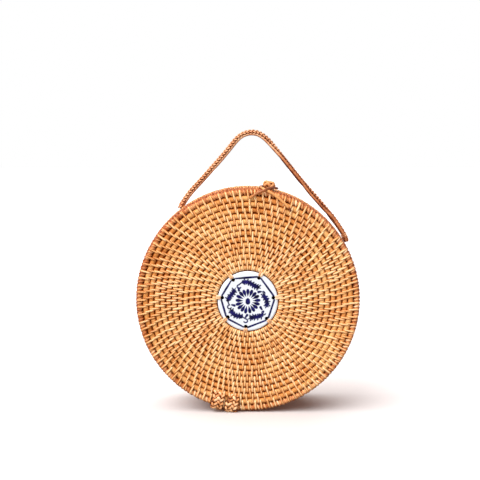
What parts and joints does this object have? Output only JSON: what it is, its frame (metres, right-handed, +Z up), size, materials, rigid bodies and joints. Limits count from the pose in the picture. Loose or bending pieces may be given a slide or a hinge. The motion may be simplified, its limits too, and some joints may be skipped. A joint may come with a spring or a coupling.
{
  "type": "circle_bag",
  "caption": "Round coiled cane handbag with a hinged lid, a drilled porcelain medallion tied in its middle, a plaited top handle and a knob-and-loop closure.",
  "frame": {"origin": "Middle of the small flat under the side wall that the bag stands on, on the supporting surface.", "axes": "+Z up, +X to the right seen from the front, +Y from the lid to the back; the lid faces -Y. The bag stands rolled about 12 degrees clockwise, as pictured."},
  "size_m": [0.2032, 0.0706, 0.2549],
  "materials": {
    "coiled_cane": "smoked coiled cane, satin",
    "rim_cane": "whipped cane, satin",
    "plaited_cane": "plaited reddish cane, satin",
    "tie_cane": "split cane, satin",
    "thong_leather": "brown waxed thong",
    "porcelain": "white glaze with cobalt-blue floral drawing"
  },
  "bodies": {
    "basket": {"side_wall": "coiled_cane", "mouth_rim": "rim_cane", "back_panel": "coiled_cane", "back_rim": "rim_cane", "hinge_loop_left": "plaited_cane", "hinge_loop_right": "plaited_cane", "closure_knob": "thong_leather", "knob_stop": "thong_leather"},
    "lid": {"lid_panel": "coiled_cane", "lid_rim": "rim_cane", "medallion": "porcelain", "medallion_ties": "tie_cane", "loop_tail_left": "thong_leather", "loop_tail_right": "thong_leather"},
    "closure_loop": {"loop_eye": "thong_leather"},
    "carrying_handle": {"handle": "plaited_cane"}
  },
  "joints": [
    {"name": "lid_hinge", "type": "hinge", "parent": "basket", "child": "lid", "pos_m": [-0.02187, -0.0312, 0.00639], "axis": [0.9744, 0, -0.225], "range_deg": [0, 60], "deforming": ["loop_eye"]},
    {"name": "loop_flip", "type": "hinge", "parent": "lid", "child": "closure_loop", "pos_m": [0.01783, -0.0334, 0.20223], "axis": [0.9848, 0, -0.1736], "range_deg": [0, 100]},
    {"name": "handle_swing", "type": "hinge", "parent": "basket", "child": "carrying_handle", "pos_m": [-0.06154, 0.00295, 0.18519], "axis": [0.9774, 0, -0.2113], "range_deg": [-25, 25]}
  ]
}
